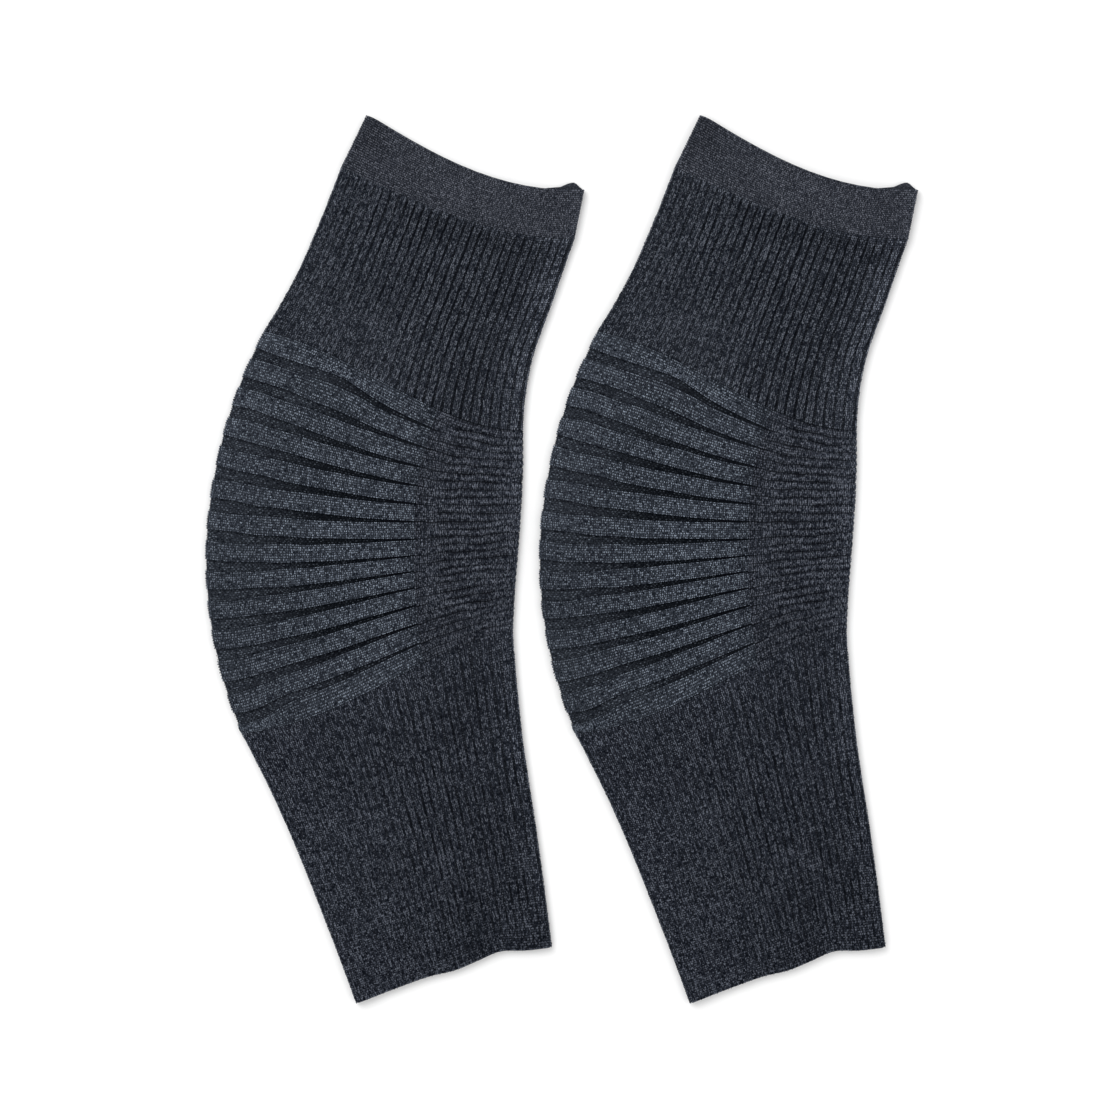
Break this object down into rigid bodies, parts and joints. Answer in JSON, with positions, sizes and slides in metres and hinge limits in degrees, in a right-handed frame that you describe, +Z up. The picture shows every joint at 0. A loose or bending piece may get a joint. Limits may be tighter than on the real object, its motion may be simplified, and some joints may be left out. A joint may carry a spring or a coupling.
{
  "type": "pair of knee warmers",
  "caption": "Pair of knitted knee warmers laid flat: bent ribbed tubes with a plain cuff, raised bands that fan open over the knee and fine cross ribs behind it.",
  "frame": {"origin": "middle of the pair's outline, on the surface that it lies on", "axes": "+Y along the warmers from the hems towards the thigh cuffs, +X across the pair with the front of each knee towards -X, +Z up from the surface"},
  "size_m": [0.3528, 0.4396, 0.006],
  "materials": {
    "cuff": "plain jersey, charcoal heather",
    "thigh_rib": "two by one rib, dark charcoal heather",
    "knee_bands": "raised jersey bands, lighter charcoal heather",
    "knee_back": "fine cross rib, charcoal heather",
    "shin_rib": "two by one rib, dark charcoal heather"
  },
  "bodies": {
    "root": {"left_cuff": "cuff", "left_thigh_rib": "thigh_rib", "left_knee_bands": "knee_bands", "left_knee_back": "knee_back", "left_shin_rib": "shin_rib", "right_cuff": "cuff", "right_thigh_rib": "thigh_rib", "right_knee_bands": "knee_bands", "right_knee_back": "knee_back", "right_shin_rib": "shin_rib"}
  },
  "joints": []
}
